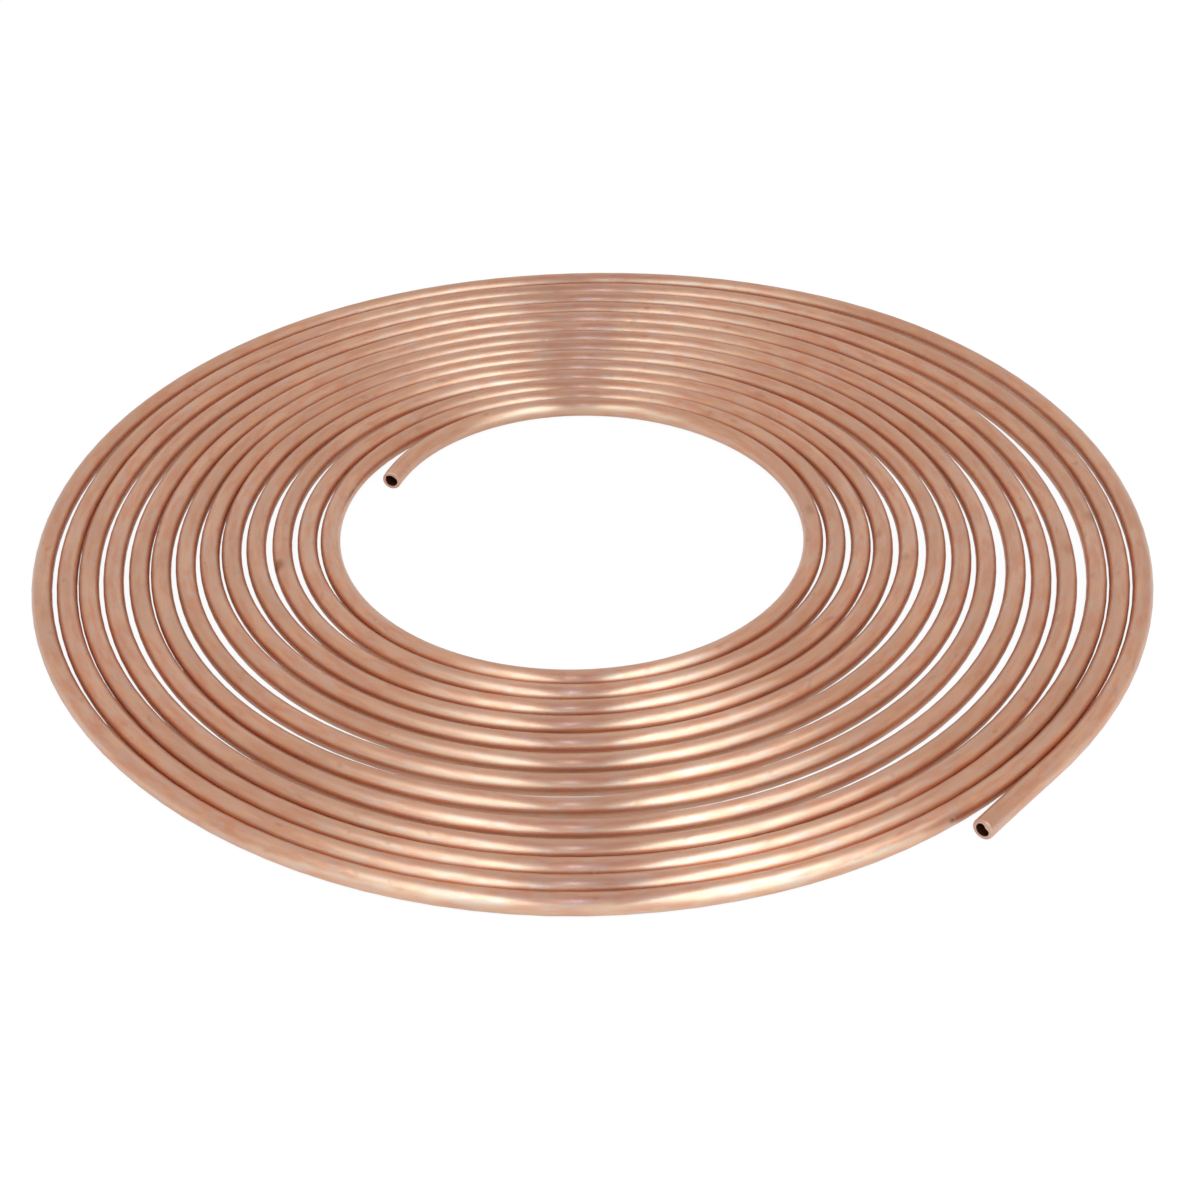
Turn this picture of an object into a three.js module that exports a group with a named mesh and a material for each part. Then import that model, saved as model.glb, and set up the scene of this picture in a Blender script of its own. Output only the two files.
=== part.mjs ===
// Copper tube coil: one length of small soft-drawn tube wound as a flat spiral, one layer deep.
// Millimetres, +Z up. The coil lies flat, and its origin is on the floor under its middle.
import * as THREE from 'three';

// ---- driving dimensions ----
const tubeDiameter = 4.76;     // outside diameter of the tube, 3/16 in
const wall = 0.71;             // wall thickness, 22 gauge
const eyeRadius = 56.0;        // from the middle of the coil to the tube's centreline at the inner end
const eyeOval = 1.1;           // how far the turns are out of round
const eyeLongBearing = 96;     // bearing along which they are longest, in degrees like every bearing
const turns = 13.578;          // from the inner cut end to the outer one
const innerEndBearing = 153.8; // degrees anticlockwise from +X, seen from above
const tightestGap = 0.2;       // least clear gap between turns that lie against each other

// Clear gap from each turn to the next one out. The wound tube has sprung open unevenly, so each row
// holds the gap at eight bearings, clockwise from the left: left, back left, back, back right, right,
// front right, front and front left. A coil of more turns goes through the rows again.
const firstGapBearing = 180;
const gaps = [
  [1.3, 0.2, 0.2, 0.5, 0.6, 0.9, 0.5, 0.4],
  [0.8, 0.7, 0.3, 0.3, 1.2, 0.9, 0.7, 1.3],
  [1.3, 1.8, 0.4, 0.4, 0.5, 0.7, 0.8, 0.9],
  [1.5, 0.9, 0.5, 0.6, 1.4, 0.8, 1.4, 1.0],
  [1.1, 0.6, 0.8, 1.6, 1.7, 1.6, 1.8, 1.0],
  [0.4, 0.2, 0.8, 1.2, 1.1, 2.0, 1.7, 2.1],
  [0.7, 0.5, 0.8, 0.7, 0.9, 1.8, 2.2, 1.8],
  [0.9, 0.5, 0.8, 0.8, 2.0, 2.1, 2.3, 0.5],
  [0.4, 0.8, 0.8, 1.0, 0.9, 2.0, 1.5, 1.2],
  [1.2, 1.3, 1.2, 1.3, 1.2, 1.0, 0.6, 0.6],
  [1.1, 1.4, 1.3, 2.1, 2.6, 0.4, 0.2, 0.3],
  [0.3, 0.7, 0.7, 2.1, 0.7, 0.2, 0.2, 0.3],
  [1.2, 1.3, 1.8, 2.8, 0.9, 0.2, 0.6, 0.5],
];

// The cut ends have straightened a little and stand off their neighbours.
const innerEnd = { standOff: 3.6, reach: 0.19 };    // how far in the tip has sprung, over how much of a turn
const outerEnd = { standOff: 2.4, reach: 0.028 };   // how far out the tip has sprung, over how much of a turn

// ---- facets ----
const sides = 8;               // around the tube, with one flat side down
const mostSteps = 390;         // straight lengths in the whole tube, at most, to keep the model light

// ---- materials ----
const drawnCopper = new THREE.MeshStandardMaterial({ color: 0xd9a283, roughness: 0.35, metalness: 1 });

// ---- the spiral ----
const gapsPerTurn = gaps[0].length;
const gapCount = gaps.length * gapsPerTurn;
const gapCurve = new THREE.SplineCurve([...gaps.flat(), gaps[0][0]].map((gap, i) => new THREE.Vector2(i, gap)));

// Clear gap between the tube at this many turns from the inner end and the turn outside it.
function gapAt(turn) {
  const turnsFromFirstGap = turn + (firstGapBearing - innerEndBearing) / 360;
  const place = THREE.MathUtils.euclideanModulo(turnsFromFirstGap * gapsPerTurn, gapCount);
  return Math.max(tightestGap, gapCurve.getPoint(place / gapCount).y);
}

function bearingAt(turn) {
  return THREE.MathUtils.degToRad(innerEndBearing - 360 * turn);
}

// Centreline radius: a slightly oval first turn, and from there each turn lies outside the last.
function radiusAt(turn) {
  if (turn >= 1) return radiusAt(turn - 1) + tubeDiameter + gapAt(turn - 1);
  const fromLongBearing = bearingAt(turn) - THREE.MathUtils.degToRad(eyeLongBearing);
  return eyeRadius + eyeOval * Math.cos(2 * fromLongBearing) + turn * (tubeDiameter + gapAt(0));
}

// How far a sprung end has moved at this distance from its tip, in turns.
function springAt(end, fromTip) {
  return end.standOff * Math.max(0, 1 - fromTip / end.reach) ** 2;
}

class Spiral extends THREE.Curve {
  constructor(turnCount) {
    super();
    this.turnCount = turnCount;
  }

  // Points are spaced by angle and not by length, so that the facets of neighbouring turns line up.
  getUtoTmapping(u) {
    return u;
  }

  getPoint(u, target = new THREE.Vector3()) {
    const turn = u * this.turnCount;
    const bearing = bearingAt(turn);
    const radius = radiusAt(turn) - springAt(innerEnd, turn) + springAt(outerEnd, this.turnCount - turn);
    return target.set(radius * Math.cos(bearing), radius * Math.sin(bearing), tubeDiameter / 2);
  }
}

// ---- the tube's section ----
// Corners of a regular polygon whose flat sides touch the circle, with one side down.
function roundOutline(diameter) {
  const corner = diameter / 2 / Math.cos(Math.PI / sides);
  return Array.from({ length: sides }, (_, i) => {
    const angle = (i + 0.5) * 2 * Math.PI / sides;
    return new THREE.Vector2(corner * Math.cos(angle), corner * Math.sin(angle));
  });
}

function tubeSection() {
  const section = new THREE.Shape(roundOutline(tubeDiameter));
  section.holes.push(new THREE.Path(roundOutline(tubeDiameter - 2 * wall)));
  return section;
}

function copperTube() {
  const steps = Math.round(turns * Math.floor(mostSteps / turns));
  const extrudePath = new Spiral(turns);
  const geometry = new THREE.ExtrudeGeometry(tubeSection(), { steps, extrudePath, curveSegments: 1 });
  geometry.computeBoundingBox();
  const middle = geometry.boundingBox.getCenter(new THREE.Vector3());
  geometry.translate(-middle.x, -middle.y, 0);
  const mesh = new THREE.Mesh(geometry, drawnCopper);
  mesh.name = 'copper_tube';
  return mesh;
}

const coil = new THREE.Group();
coil.add(copperTube());

export default coil;
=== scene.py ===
"""Copper tube coil: one length of small soft-drawn tube, wound as a flat spiral, on a pale floor."""

import math

import bpy
from mathutils import Matrix, Vector


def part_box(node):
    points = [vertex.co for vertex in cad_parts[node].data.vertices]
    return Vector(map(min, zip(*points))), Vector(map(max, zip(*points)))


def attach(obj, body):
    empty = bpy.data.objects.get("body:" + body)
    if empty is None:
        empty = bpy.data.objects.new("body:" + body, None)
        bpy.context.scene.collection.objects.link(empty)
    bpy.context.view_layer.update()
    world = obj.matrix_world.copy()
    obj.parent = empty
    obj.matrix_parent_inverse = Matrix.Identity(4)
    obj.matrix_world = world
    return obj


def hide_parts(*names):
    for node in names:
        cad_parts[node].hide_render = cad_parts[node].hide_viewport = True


bl_info = {
    "name": "Copper Tube Coil",
    "version": (1, 0, 0),
    "blender": (4, 5, 0),
    "location": "View3D > Sidebar > Copper Coil",
    "description": "Winds a flat coil of soft-drawn copper tube and lights it on a pale floor",
    "category": "Object",
}

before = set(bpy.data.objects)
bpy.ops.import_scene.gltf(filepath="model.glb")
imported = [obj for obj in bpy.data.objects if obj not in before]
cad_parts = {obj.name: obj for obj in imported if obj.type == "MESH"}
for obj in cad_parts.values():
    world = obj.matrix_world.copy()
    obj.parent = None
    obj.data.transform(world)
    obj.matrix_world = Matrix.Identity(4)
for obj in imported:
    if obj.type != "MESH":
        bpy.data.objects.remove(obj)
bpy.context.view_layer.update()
TUBE_NODE = "copper_tube"
TUBE_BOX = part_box(TUBE_NODE)
TUBE_DIAMETER = TUBE_BOX[1][2] - TUBE_BOX[0][2]

MM = 0.001

# Clear gap, in millimetres, from each turn to the next one out, at eight bearings:
# left, back left, back, back right, right, front right, front and front left.
GAPS_MM = [
    (1.3, 0.2, 0.2, 0.5, 0.6, 0.9, 0.5, 0.4),
    (0.8, 0.7, 0.3, 0.3, 1.2, 0.9, 0.7, 1.3),
    (1.3, 1.8, 0.4, 0.4, 0.5, 0.7, 0.8, 0.9),
    (1.5, 0.9, 0.5, 0.6, 1.4, 0.8, 1.4, 1.0),
    (1.1, 0.6, 0.8, 1.6, 1.7, 1.6, 1.8, 1.0),
    (0.4, 0.2, 0.8, 1.2, 1.1, 2.0, 1.7, 2.1),
    (0.7, 0.5, 0.8, 0.7, 0.9, 1.8, 2.2, 1.8),
    (0.9, 0.5, 0.8, 0.8, 2.0, 2.1, 2.3, 0.5),
    (0.4, 0.8, 0.8, 1.0, 0.9, 2.0, 1.5, 1.2),
    (1.2, 1.3, 1.2, 1.3, 1.2, 1.0, 0.6, 0.6),
    (1.1, 1.4, 1.3, 2.1, 2.6, 0.4, 0.2, 0.3),
    (0.3, 0.7, 0.7, 2.1, 0.7, 0.2, 0.2, 0.3),
    (1.2, 1.3, 1.8, 2.8, 0.9, 0.2, 0.6, 0.5),
]
FIRST_BEARING = 180.0     # the first of those bearings, just before the inner end
FRAME_STEPS = 28          # straight steps to a turn in the frame's tube


class CoilSizes(bpy.types.PropertyGroup):
    """How the tube is drawn and wound"""

    wall: bpy.props.FloatProperty(
        name="Wall", description="Thickness of the tube's wall", default=0.71 * MM, unit="LENGTH")
    eye_radius: bpy.props.FloatProperty(
        name="Eye radius", description="Middle of the coil to the centreline at the inner end",
        default=56.0 * MM, unit="LENGTH")
    eye_oval: bpy.props.FloatProperty(
        name="Eye oval", description="How far the first turn is out of round",
        default=1.1 * MM, unit="LENGTH")
    eye_long_bearing: bpy.props.FloatProperty(
        name="Eye long bearing", description="Bearing along which the oval first turn is longest",
        default=math.radians(96), subtype="ANGLE")
    turns: bpy.props.FloatProperty(
        name="Turns", description="Turns from the inner cut end to the outer one", default=13.578)
    inner_bearing: bpy.props.FloatProperty(
        name="Inner end bearing", description="Bearing of the inner end, anticlockwise from +X",
        default=math.radians(153.8), subtype="ANGLE")
    tightest_gap: bpy.props.FloatProperty(
        name="Tightest gap", description="Least gap between turns that lie together",
        default=0.2 * MM, unit="LENGTH")
    inner_stand_off: bpy.props.FloatProperty(
        name="Inner stand-off", description="How far the inner tip has sprung inwards",
        default=3.6 * MM, unit="LENGTH")
    outer_stand_off: bpy.props.FloatProperty(
        name="Outer stand-off", description="How far the outer tip has sprung outwards",
        default=2.4 * MM, unit="LENGTH")
    inner_reach: bpy.props.FloatProperty(
        name="Inner reach", description="Share of a turn over which the inner end straightens",
        default=0.19)
    outer_reach: bpy.props.FloatProperty(
        name="Outer reach", description="Share of a turn over which the outer end straightens",
        default=0.028)
    steps: bpy.props.IntProperty(
        name="Steps", description="Rings of the mesh to a turn", default=112)
    corner_points: bpy.props.IntProperty(
        name="Corner points", description="Extra points in each quarter of the round section", default=12)


class CopperLook(bpy.types.PropertyGroup):
    """How the copper looks"""

    clean: bpy.props.StringProperty(
        name="Copper", description="sRGB colour of the clean metal", default="#ECB997")
    dull: bpy.props.StringProperty(
        name="Dull copper", description="sRGB colour where the metal has dulled", default="#E2A383")
    grey: bpy.props.StringProperty(
        name="Greyed copper", description="sRGB colour of the paler, greyer patches", default="#DEBCA9")
    tarnish: bpy.props.StringProperty(
        name="Tarnish", description="sRGB colour of the faintly tarnished stretches", default="#D0A082")
    smudge: bpy.props.StringProperty(
        name="Smudge", description="sRGB colour of the small brown smudges", default="#B4785A")
    bore: bpy.props.StringProperty(
        name="Bore", description="sRGB colour inside the bore", default="#9C5636")
    cut: bpy.props.StringProperty(
        name="Cut end", description="sRGB colour of the cut ends", default="#D0A590")
    roughness: bpy.props.FloatProperty(
        name="Roughness", description="Roughness of the drawn and annealed surface", default=0.27,
        subtype="FACTOR")


class StageLook(bpy.types.PropertyGroup):
    """The floor, the lamps and the camera"""

    lens: bpy.props.FloatProperty(
        name="Lens", description="Focal length on a 36 mm sensor", default=64.5, unit="CAMERA")
    strip_height: bpy.props.FloatProperty(
        name="Strip height", description="Height of the two strip lights above the floor",
        default=350 * MM, unit="LENGTH")
    right_power: bpy.props.FloatProperty(
        name="Right strip", description="Power of the strip light on the right", default=3.1, unit="POWER")
    left_power: bpy.props.FloatProperty(
        name="Left strip", description="Power of the strip light on the left", default=1.6, unit="POWER")
    window_power: bpy.props.FloatProperty(
        name="Small window", description="Power of the small lamp over the camera", default=0.06,
        unit="POWER")
    floor_glow: bpy.props.FloatProperty(
        name="Floor glow", description="Brightness of the floor as the camera sees it", default=1.04)
    floor_seen: bpy.props.FloatProperty(
        name="Floor seen", description="Share of that glow in what the camera sees; the rest takes shadows",
        default=0.9, subtype="FACTOR")
    floor_mirrored: bpy.props.FloatProperty(
        name="Floor mirrored", description="Share of that glow that the metal mirrors", default=0.2,
        subtype="FACTOR")


# ---- the spiral ----

def gap_at(sizes, turn):
    """Clear gap between the tube at this many turns from the inner end and the turn outside it: a smooth
    curve through the table."""
    gaps = [gap * MM for row in GAPS_MM for gap in row]
    first = (math.degrees(sizes.inner_bearing) - FIRST_BEARING) / 360
    place = (turn - first) * len(GAPS_MM[0])
    before = math.floor(place)
    share = place - before
    a, b, c, d = (gaps[min(max(before + k, 0), len(gaps) - 1)] for k in (-1, 0, 1, 2))
    smooth = b + share * (c - a + share * (2 * a - 5 * b + 4 * c - d + share * (3 * (b - c) + d - a))) / 2
    return max(sizes.tightest_gap, smooth)


def bearing_at(sizes, turn):
    return sizes.inner_bearing - 2 * math.pi * turn


def radius_at(sizes, turn):
    """Centreline radius: a slightly oval first turn, then each turn lies outside the last."""
    inwards = int(max(turn, 0.0))
    start = turn - inwards
    radius = sizes.eye_radius + start * (TUBE_DIAMETER + gap_at(sizes, 0.0))
    radius += sizes.eye_oval * math.cos(2 * (bearing_at(sizes, turn) - sizes.eye_long_bearing))
    return radius + sum(TUBE_DIAMETER + gap_at(sizes, start + k) for k in range(inwards))


def spring_at(stand_off, reach, from_tip):
    """How far a sprung end has moved at this distance from its tip, in turns."""
    return stand_off * max(0.0, 1 - from_tip / reach) ** 2


def point_at(sizes, turn):
    """The centreline at this many turns from the inner end, about the spiral's own middle."""
    bearing = bearing_at(sizes, turn)
    radius = (radius_at(sizes, turn)
              - spring_at(sizes.inner_stand_off, sizes.inner_reach, turn)
              + spring_at(sizes.outer_stand_off, sizes.outer_reach, sizes.turns - turn))
    return Vector((radius * math.cos(bearing), radius * math.sin(bearing), TUBE_DIAMETER / 2))


def heading_at(sizes, turn):
    """Unit vector along the tube, from the inner end towards the outer one."""
    return (point_at(sizes, turn + 1e-4) - point_at(sizes, turn - 1e-4)).normalized()


def spiral_middle(sizes):
    """Middle of the frame tube's box, from the spiral's own middle."""
    edges = []
    steps = round(sizes.turns * FRAME_STEPS)
    for step in range(steps + 1):
        turn = sizes.turns * step / steps
        point, ahead = point_at(sizes, turn), heading_at(sizes, turn)
        side = Vector((-ahead.y, ahead.x, 0)) * TUBE_DIAMETER / 2
        edges += [point + side, point - side]
    low = Vector(min(p[k] for p in edges) for k in range(3))
    high = Vector(max(p[k] for p in edges) for k in range(3))
    middle = (low + high) / 2
    return Vector((middle.x, middle.y, 0))


# ---- the cut ends ----

TIP_RINGS = [s * MM for s in (0, 0.1, 0.25, 0.45, 0.7, 1.0, 1.4, 2.0, 3.0)]   # distances from each tip
RIM_RADIUS = 0.25 * MM           # the cutter leaves the outer edge a little rounded
BURR = 0.12 * MM                 # and turns the bore's edge inwards all round
BURR_DEPTH = 0.7 * MM
SMOOTH_BELOW = math.radians(40)  # edges sharper than this stay sharp
# Places round the tube, from its outer side upwards: (bearing in degrees, spread in degrees, height).
INNER_END_MARKS = [(125, 40, 0.20 * MM), (38, 22, -0.22 * MM)]
OUTER_END_MARKS = [(48, 34, 0.62 * MM)]


def ring_turns(sizes):
    """Turns at which the rings stand: closer together behind each tip."""
    total = sizes.turns
    near = [s / (2 * math.pi * radius_at(sizes, 0.0)) for s in TIP_RINGS]
    far = [total - s / (2 * math.pi * radius_at(sizes, total)) for s in reversed(TIP_RINGS)]
    count = round(total * sizes.steps)
    between = [total * i / count for i in range(1, count)]
    return near + between + far


def bump_round(angle, marks):
    """Height at one place round the bore's edge, from a list of marks."""
    height = BURR
    for at, spread, rise in marks:
        away = math.remainder(angle - math.radians(at), 2 * math.pi)
        height += rise * math.exp(-(away / math.radians(spread)) ** 2)
    return height


def rim_drop(from_tip):
    """How far the rounded outer edge of a cut end lies inside the tube's surface."""
    if from_tip >= RIM_RADIUS:
        return 0.0
    return RIM_RADIUS - math.sqrt(RIM_RADIUS ** 2 - (RIM_RADIUS - from_tip) ** 2)


# ---- materials ----

def linear(hex_colour):
    """An sRGB hex colour as linear RGBA."""
    parts = [int(hex_colour[i:i + 2], 16) / 255 for i in (1, 3, 5)]
    return [c / 12.92 if c <= 0.04045 else ((c + 0.055) / 1.055) ** 2.4 for c in parts] + [1.0]


def add_node(tree, kind, links=None, **settings):
    """Adds a node, sets its properties and inputs, and links inputs to the sockets given."""
    node = tree.nodes.new(kind)
    for key, value in settings.items():
        if hasattr(node, key):
            setattr(node, key, value)
        else:
            node.inputs[key.replace("_", " ")].default_value = value
    for key, socket in (links or {}).items():
        tree.links.new(socket, node.inputs[key])
    return node


def ramp(tree, socket, start, end, low, high):
    """A smooth change from one value to another between two readings of a socket."""
    node = add_node(tree, "ShaderNodeMapRange", interpolation_type="SMOOTHSTEP", links={"Value": socket})
    for name, value in (("From Min", start), ("From Max", end), ("To Min", low), ("To Max", high)):
        node.inputs[name].default_value = value
    return node.outputs[0]


def combine(tree, operation, sockets):
    """Several sockets taken together by one operation."""
    result = sockets[0]
    for socket in sockets[1:]:
        both = {0: result, 1: socket}
        result = add_node(tree, "ShaderNodeMath", operation=operation, links=both).outputs[0]
    return result


def laid_over(tree, colour, over, share):
    """A colour, plain or from a socket, with another laid over it by the share that a socket gives."""
    mix = add_node(tree, "ShaderNodeMix", data_type="RGBA", links={"Factor": share})
    if isinstance(colour, bpy.types.NodeSocket):
        tree.links.new(colour, mix.inputs["A"])
    else:
        mix.inputs["A"].default_value = colour
    mix.inputs["B"].default_value = over
    return mix.outputs["Result"]


def new_material(name):
    material = bpy.data.materials.new(name)
    material.use_nodes = True
    material.node_tree.nodes.clear()
    return material, material.node_tree


# Marks on the tube: (run from the inner tip, side, length, width, depth of colour). The run, length and
# width are in millimetres, and the side is in degrees from the tube's outer side upwards.
SMUDGES = [
    (150, 90, 3.0, 1.8, 0.35), (391, 120, 2.6, 1.4, 0.3), (1158, 48, 3.4, 2.4, 1.0),
    (1204, 180, 2.6, 1.4, 0.35), (1412, 120, 2.8, 1.6, 0.35), (1822, 120, 2.6, 1.4, 0.3),
    (1910, 105, 2.6, 1.8, 0.4), (4888, 120, 2.6, 1.6, 0.35), (5613, 60, 3.0, 2.0, 0.35),
    (6012, 165, 3.0, 1.4, 0.4), (6349, 60, 3.6, 2.2, 0.5), (7258, 30, 9.0, 1.6, 0.5),
    (7572, 180, 3.4, 1.4, 0.45),
]
SCRATCH_AND_GLINT = (3737, 100, 16.0, 0.2, 0.8)      # one scratch on the front, in the same terms, with a painted highlight along it
SCRATCH_GLINT_COLOUR = "#FFFFFF"
DRAW_LINE_STRETCH = 0.95                   # how far the draw lines stretch a highlight across the tube
BORE_ROUGHNESS = 0.55
CUT_ROUGHNESS = 0.4


def mark_on_tube(tree, place, mark):
    """How deep a mark is at each place on the tube: full in its middle and fading to its edge."""
    run, side, length, width, depth = mark
    side = math.radians(side)
    centre = Vector((run * MM, math.cos(side) * TUBE_DIAMETER / 2, math.sin(side) * TUBE_DIAMETER / 2))
    size = Vector((1 / (length * MM), 1 / (width * MM), 1 / (width * MM)))
    away = add_node(tree, "ShaderNodeMapping", links={"Vector": place.outputs["Vector"]})
    away.inputs["Location"].default_value = -centre * size
    away.inputs["Scale"].default_value = size
    far = add_node(tree, "ShaderNodeVectorMath", operation="LENGTH", links={0: away.outputs[0]})
    return ramp(tree, far.outputs["Value"], 0.2, 1.0, depth, 0.0)


def drawn_annealed_copper(look):
    """Soft bright copper: fine draw lines along the tube, a mottled tint and small brown smudges."""
    material, tree = new_material("drawn_annealed_copper")
    place = add_node(tree, "ShaderNodeAttribute", attribute_name="straight_tube")
    around = add_node(tree, "ShaderNodeAttribute", attribute_name="round_tube")

    def pattern(along, across, **settings):
        """Noise whose blotches have these sizes along and across the tube."""
        scale = add_node(tree, "ShaderNodeMapping", links={"Vector": place.outputs["Vector"]})
        scale.inputs["Scale"].default_value = (1 / along, 1 / across, 1 / across)
        noise = add_node(tree, "ShaderNodeTexNoise", links={"Vector": scale.outputs[0]},
                         Scale=1.0, **settings)
        return noise.outputs["Fac"]

    colour = laid_over(tree, linear(look.clean), linear(look.dull),
                       ramp(tree, pattern(9 * MM, 1.8 * MM, Detail=3.0), 0.34, 0.66, 0, 0.95))
    colour = laid_over(tree, colour, linear(look.grey),
                       ramp(tree, pattern(5 * MM, 1.4 * MM, Detail=3.0), 0.42, 0.7, 0, 0.62))
    colour = laid_over(tree, colour, linear(look.tarnish),
                       ramp(tree, pattern(45 * MM, 7 * MM, Detail=1.0), 0.35, 0.65, 0, 0.4))
    specks = ramp(tree, pattern(4.5 * MM, 2.2 * MM, Detail=1.0), 0.66, 0.8, 0, 0.28)
    smudges = combine(tree, "MAXIMUM", [specks] + [mark_on_tube(tree, place, mark) for mark in SMUDGES])
    colour = laid_over(tree, colour, linear(look.smudge), smudges)
    # the scratch is painted white: a painted highlight along a real scratch
    colour = laid_over(tree, colour, linear(SCRATCH_GLINT_COLOUR), mark_on_tube(tree, place, SCRATCH_AND_GLINT))

    lines = pattern(60 * MM, 0.4 * MM, Detail=2.0)      # real draw lines are finer than this
    bump = add_node(tree, "ShaderNodeBump", Strength=0.3, Distance=0.02 * MM, links={"Height": lines})
    shader = add_node(tree, "ShaderNodeBsdfPrincipled", Metallic=1.0, Roughness=look.roughness,
                      Anisotropic=DRAW_LINE_STRETCH,
                      links={"Normal": bump.outputs[0], "Tangent": around.outputs["Vector"],
                             "Base Color": colour})
    add_node(tree, "ShaderNodeOutputMaterial", links={"Surface": shader.outputs[0]})
    return material


def dull_bore_copper(look):
    """The bore: unpolished and browned by the annealing."""
    material, tree = new_material("dull_bore_copper")
    shader = add_node(tree, "ShaderNodeBsdfPrincipled", Metallic=1.0, Roughness=BORE_ROUGHNESS)
    shader.inputs["Base Color"].default_value = linear(look.bore)
    add_node(tree, "ShaderNodeOutputMaterial", links={"Surface": shader.outputs[0]})
    return material


def fresh_cut_copper(look):
    """The cut ends: bare metal, left dull by the cutter."""
    material, tree = new_material("fresh_cut_copper")
    shader = add_node(tree, "ShaderNodeBsdfPrincipled", Metallic=1.0, Roughness=CUT_ROUGHNESS)
    shader.inputs["Base Color"].default_value = linear(look.cut)
    add_node(tree, "ShaderNodeOutputMaterial", links={"Surface": shader.outputs[0]})
    return material


def pale_floor(stage):
    """A matt white floor: almost shadowless to the camera, and mostly as it is lit to the metal."""
    material, tree = new_material("pale_matt_floor")
    matt = add_node(tree, "ShaderNodeBsdfDiffuse")
    matt.inputs["Color"].default_value = (0.9, 0.9, 0.9, 1.0)
    glow = add_node(tree, "ShaderNodeEmission", Strength=stage.floor_glow)
    rays = add_node(tree, "ShaderNodeLightPath")
    seen = add_node(tree, "ShaderNodeMath", operation="MULTIPLY", links={0: rays.outputs["Is Camera Ray"]})
    seen.inputs[1].default_value = stage.floor_seen
    mirrored = add_node(tree, "ShaderNodeMath", operation="MULTIPLY_ADD",
                        links={0: rays.outputs["Is Glossy Ray"], 2: seen.outputs[0]})
    mirrored.inputs[1].default_value = stage.floor_mirrored
    mix = add_node(tree, "ShaderNodeMixShader",
                   links={0: mirrored.outputs[0], 1: matt.outputs[0], 2: glow.outputs[0]})
    add_node(tree, "ShaderNodeOutputMaterial", links={"Surface": mix.outputs[0]})
    return material


# ---- pieces ----

def settings_of(context):
    scene = context.scene
    return scene.coil_sizes, scene.copper_look, scene.coil_stage


def wind_curve(context, sizes, turns, middle):
    """The tube's outer skin: a round curve along the spiral, made a mesh."""
    curve = bpy.data.curves.new("drawn_tube", "CURVE")
    curve.dimensions = "3D"
    curve.twist_mode = "Z_UP"
    curve.bevel_depth = TUBE_DIAMETER / 2
    curve.bevel_resolution = sizes.corner_points
    spline = curve.splines.new("POLY")
    spline.points.add(len(turns) - 1)
    for place, turn in zip(spline.points, turns):
        place.co = (*(point_at(sizes, turn) - middle), 1.0)
    tube = bpy.data.objects.new("drawn_tube", curve)
    context.collection.objects.link(tube)
    context.view_layer.objects.active = tube
    tube.select_set(True)
    bpy.ops.object.convert(target="MESH")
    return context.object


def finish_skins(sizes, mesh, turns, middle):
    """Shapes the cut ends, and keeps each point's place on the straight tube for the material."""
    skin = len(mesh.vertices) // 2
    sides = skin // len(turns)
    total = sizes.turns
    straight = mesh.attributes.new("straight_tube", "FLOAT_VECTOR", "POINT")
    rounds = mesh.attributes.new("round_tube", "FLOAT_VECTOR", "POINT")
    run, last = 0.0, None
    for ring, turn in enumerate(turns):
        centre, ahead = point_at(sizes, turn) - middle, heading_at(sizes, turn)
        outwards = Vector((-ahead.y, ahead.x, 0))
        run += (centre - last).length if last else 0.0
        last = centre
        span = 2 * math.pi * radius_at(sizes, turn)
        to_inner, to_outer = turn * span, (total - turn) * span
        for side in range(sides):
            for index in (ring * sides + side, skin + ring * sides + side):
                spoke = mesh.vertices[index].co - centre
                angle = math.atan2(spoke.z, spoke.dot(outwards))
                if index < skin:
                    spoke *= 1 - rim_drop(min(to_inner, to_outer)) / (TUBE_DIAMETER / 2)
                else:
                    burr = (bump_round(angle, INNER_END_MARKS) * math.exp(-(to_inner / BURR_DEPTH) ** 2)
                            + bump_round(angle, OUTER_END_MARKS) * math.exp(-(to_outer / BURR_DEPTH) ** 2))
                    spoke *= 1 - burr / spoke.length
                mesh.vertices[index].co = centre + spoke
                straight.data[index].vector = (run, spoke.dot(outwards), spoke.z)
                rounds.data[index].vector = ahead.cross(spoke).normalized()


class COIL_OT_tube(bpy.types.Operator):
    """Winds the copper tube"""

    bl_idname = "coil.tube"
    bl_label = "Wind the tube"

    def execute(self, context):
        sizes, look, _ = settings_of(context)
        bpy.ops.object.select_all(action="DESELECT")
        middle = spiral_middle(sizes)
        turns = ring_turns(sizes)
        tube = wind_curve(context, sizes, turns, middle)
        tube.data.materials.clear()
        for material in (drawn_annealed_copper(look), dull_bore_copper(look), fresh_cut_copper(look)):
            tube.data.materials.append(material)
        wall = tube.modifiers.new("wall", "SOLIDIFY")
        wall.thickness = sizes.wall
        wall.offset = -1
        wall.material_offset = 1
        wall.material_offset_rim = 2
        bpy.ops.object.modifier_apply(modifier=wall.name)
        finish_skins(sizes, tube.data, turns, middle)
        bpy.ops.object.shade_smooth_by_angle(angle=SMOOTH_BELOW)
        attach(tube, "root")
        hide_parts(TUBE_NODE)
        return {"FINISHED"}


# ---- the stage ----

CAMERA_BACK = 436.7 * MM      # camera in front of the spiral's middle
CAMERA_UP = 292.7 * MM        # camera above the floor
CAMERA_SIDE = 1.8 * MM        # camera to the right of the spiral's middle
CAMERA_PITCH = math.radians(35.55)
CAMERA_YAW = math.radians(0.47)
CAMERA_ROLL = math.radians(-0.77)


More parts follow.
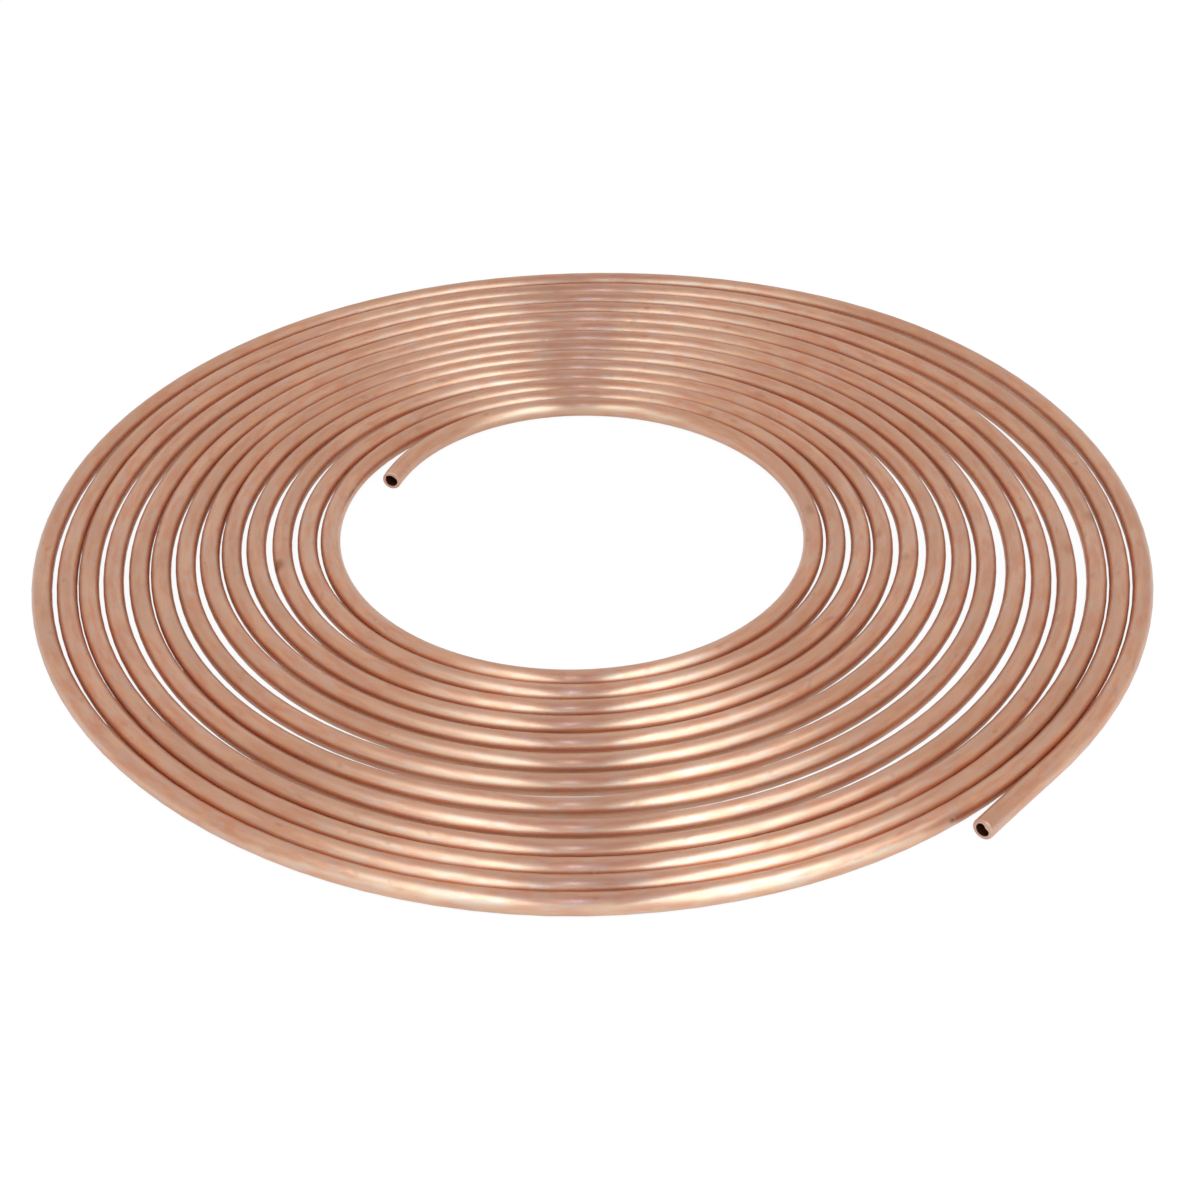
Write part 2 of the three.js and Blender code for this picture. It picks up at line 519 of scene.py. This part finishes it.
def add_camera(context, stage, middle):
    data = bpy.data.cameras.new("camera")
    data.lens = stage.lens
    data.sensor_width = 36.0
    camera = bpy.data.objects.new("camera", data)
    context.collection.objects.link(camera)
    pitch, yaw, roll = CAMERA_PITCH, CAMERA_YAW, CAMERA_ROLL
    forward = Vector((math.sin(yaw) * math.cos(pitch), math.cos(yaw) * math.cos(pitch), -math.sin(pitch)))
    level = Vector((math.cos(yaw), -math.sin(yaw), 0))
    upright = level.cross(forward)
    right = math.cos(roll) * level + math.sin(roll) * upright
    up = -math.sin(roll) * level + math.cos(roll) * upright
    turn = Matrix((right, up, -forward)).transposed()
    place = Vector((CAMERA_SIDE, -CAMERA_BACK, CAMERA_UP)) - middle
    camera.matrix_world = Matrix.Translation(place) @ turn.to_4x4()
    context.scene.camera = camera


# The strip lights, in millimetres from the middle of the coil: across it, then along it.
STRIP_RIGHT = ((90, 170, 520), (-950, -260, 40))
STRIP_LEFT = ((-90, -110, -400), (-800, -330, 40))
STRIP_COLOUR = (0.57, 0.82, 1.0)
STRIP_SPREAD = math.radians(140)
WINDOW_BEARING = math.radians(-4.5)    # from straight in front, positive to the right
WINDOW_ELEVATION = math.radians(57)
WINDOW_DISTANCE = 620 * MM
WINDOW_WIDTH, WINDOW_HEIGHT = 12 * MM, 60 * MM
WINDOW_COLOUR = (0.5, 0.66, 1.0)


def add_strip_light(context, name, up, power, across, along):
    """A level strip light over the coil. Across, it is even from the first distance to the second and
    then fades to the third. Along, it is even from its front to the second distance and then fades to
    its back."""
    near, full, far = (distance * MM for distance in across)
    front, full_back, back = (distance * MM for distance in along)
    data = bpy.data.lights.new(name, "AREA")
    data.shape = "RECTANGLE"
    data.size, data.size_y = abs(far - near), back - front
    data.energy = power
    data.spread = STRIP_SPREAD
    data.color = STRIP_COLOUR
    data.use_nodes = True
    tree = data.node_tree
    tree.nodes.clear()
    place = add_node(tree, "ShaderNodeNewGeometry")
    parts = add_node(tree, "ShaderNodeSeparateXYZ", links={0: place.outputs["Position"]})
    sideways = ramp(tree, parts.outputs["X"], full, far, 1.0, 0.0)
    backwards = ramp(tree, parts.outputs["Y"], full_back, back, 1.0, 0.0)
    glow = add_node(tree, "ShaderNodeEmission", links={
        "Strength": combine(tree, "MULTIPLY", [sideways, backwards])})
    add_node(tree, "ShaderNodeOutputLight", links={"Surface": glow.outputs[0]})
    lamp = bpy.data.objects.new(name, data)
    context.collection.objects.link(lamp)
    lamp.location = ((near + far) / 2, (front + back) / 2, up)


def add_small_window(context, power):
    """A small rectangular lamp over the camera, aimed at the middle of the coil."""
    data = bpy.data.lights.new("small_window", "AREA")
    data.shape = "RECTANGLE"
    data.size, data.size_y = WINDOW_WIDTH, WINDOW_HEIGHT
    data.energy = power
    data.color = WINDOW_COLOUR
    lamp = bpy.data.objects.new("small_window", data)
    context.collection.objects.link(lamp)
    level = math.cos(WINDOW_ELEVATION)
    lamp.location = WINDOW_DISTANCE * Vector((math.sin(WINDOW_BEARING) * level,
                                              -math.cos(WINDOW_BEARING) * level,
                                              math.sin(WINDOW_ELEVATION)))
    lamp.rotation_euler = (-lamp.location).to_track_quat("-Z", "Y").to_euler()


# The room as the metal mirrors it, in linear RGB.
WALLS = (0.71, 0.68, 0.68, 1)
LOW_BEHIND = (0.70, 0.75, 0.80, 1)
IN_FRONT = (0.88, 1.15, 1.30, 1)
DARK_STRIP = (0.54, 0.48, 0.53, 1)
LOW_GLOW = (0.50, 0.87, 1.0, 1)
GLOW_RIGHT, GLOW_LEFT = 1.3, 0.5


def pale_room():
    """White for the camera. For the metal, a pale room: cooler and brighter in front, with a dark strip
    overhead, from the camera over to the back. Each part of it is a range of directions."""
    world = bpy.data.worlds.new("pale_room")
    world.use_nodes = True
    tree = world.node_tree
    tree.nodes.clear()
    place = add_node(tree, "ShaderNodeTexCoord")
    parts = add_node(tree, "ShaderNodeSeparateXYZ", links={0: place.outputs["Generated"]})
    x, y, z = (parts.outputs[k] for k in "XYZ")
    off_middle = add_node(tree, "ShaderNodeMath", operation="ABSOLUTE", links={0: x}).outputs[0]
    low_behind = combine(tree, "MULTIPLY", [ramp(tree, y, 0.5, 0.9, 0, 1), ramp(tree, z, 0.35, 0.6, 1, 0)])
    in_front = ramp(tree, y, -0.35, -0.7, 0, 1)
    strip = combine(tree, "MULTIPLY", [ramp(tree, off_middle, 0.08, 0.2, 1, 0),
                                       ramp(tree, z, 0.5, 0.75, 0, 1), ramp(tree, y, 0.3, 0.55, 1, 0)])
    colour = laid_over(tree, WALLS, LOW_BEHIND, low_behind)
    colour = laid_over(tree, colour, IN_FRONT, in_front)
    colour = laid_over(tree, colour, DARK_STRIP, strip)
    low_in_front = combine(tree, "MULTIPLY", [ramp(tree, z, 0.3, 0.6, 1, 0), ramp(tree, y, -0.3, -0.7, 0, 1)])
    sides = combine(tree, "ADD", [ramp(tree, x, 0.15, 0.35, 0, GLOW_RIGHT),
                                  ramp(tree, x, -0.15, -0.35, 0, GLOW_LEFT)])
    strength = combine(tree, "MULTIPLY", [low_in_front, sides])
    plain = add_node(tree, "ShaderNodeBackground", links={"Color": colour})
    glow = add_node(tree, "ShaderNodeBackground", links={"Strength": strength})
    glow.inputs["Color"].default_value = LOW_GLOW
    walls = add_node(tree, "ShaderNodeAddShader", links={0: plain.outputs[0], 1: glow.outputs[0]})
    white = add_node(tree, "ShaderNodeBackground")
    white.inputs["Color"].default_value = (1, 1, 1, 1)
    rays = add_node(tree, "ShaderNodeLightPath")
    seen = add_node(tree, "ShaderNodeMixShader",
                    links={0: rays.outputs["Is Camera Ray"], 1: walls.outputs[0], 2: white.outputs[0]})
    add_node(tree, "ShaderNodeOutputWorld", links={"Surface": seen.outputs[0]})
    return world


FLOOR_SIZE = 6.0
FLOOR_DROP = 0.2 * MM         # the floor lies this far under the coil


class COIL_OT_stage(bpy.types.Operator):
    """Adds the floor, the lamps, the world and the camera"""

    bl_idname = "coil.stage"
    bl_label = "Set the stage"

    def execute(self, context):
        sizes, _, stage = settings_of(context)
        bpy.ops.object.select_all(action="DESELECT")
        bpy.ops.mesh.primitive_plane_add(size=FLOOR_SIZE, location=(0, 0, -FLOOR_DROP))
        floor = context.object
        floor.name = "floor"
        floor.data.materials.append(pale_floor(stage))
        context.scene.world = pale_room()
        add_strip_light(context, "strip_right", stage.strip_height, stage.right_power, *STRIP_RIGHT)
        add_strip_light(context, "strip_left", stage.strip_height, stage.left_power, *STRIP_LEFT)
        add_small_window(context, stage.window_power)
        add_camera(context, stage, spiral_middle(sizes))
        context.scene.view_settings.view_transform = "Standard"
        return {"FINISHED"}


class COIL_PT_panel(bpy.types.Panel):
    """Copper coil tools"""

    bl_idname = "COIL_PT_panel"
    bl_label = "Copper Coil"
    bl_space_type = "VIEW_3D"
    bl_region_type = "UI"
    bl_category = "Copper Coil"

    def draw(self, context):
        for operator in (COIL_OT_tube, COIL_OT_stage):
            self.layout.operator(operator.bl_idname)


CLASSES = (CoilSizes, CopperLook, StageLook, COIL_OT_tube, COIL_OT_stage, COIL_PT_panel)


def register():
    for cls in CLASSES:
        bpy.utils.register_class(cls)
    bpy.types.Scene.coil_sizes = bpy.props.PointerProperty(type=CoilSizes)
    bpy.types.Scene.copper_look = bpy.props.PointerProperty(type=CopperLook)
    bpy.types.Scene.coil_stage = bpy.props.PointerProperty(type=StageLook)


def unregister():
    del bpy.types.Scene.coil_stage
    del bpy.types.Scene.copper_look
    del bpy.types.Scene.coil_sizes
    for cls in reversed(CLASSES):
        bpy.utils.unregister_class(cls)


def main():
    register()
    bpy.ops.coil.tube()
    bpy.ops.coil.stage()


if __name__ == "__main__":
    main()
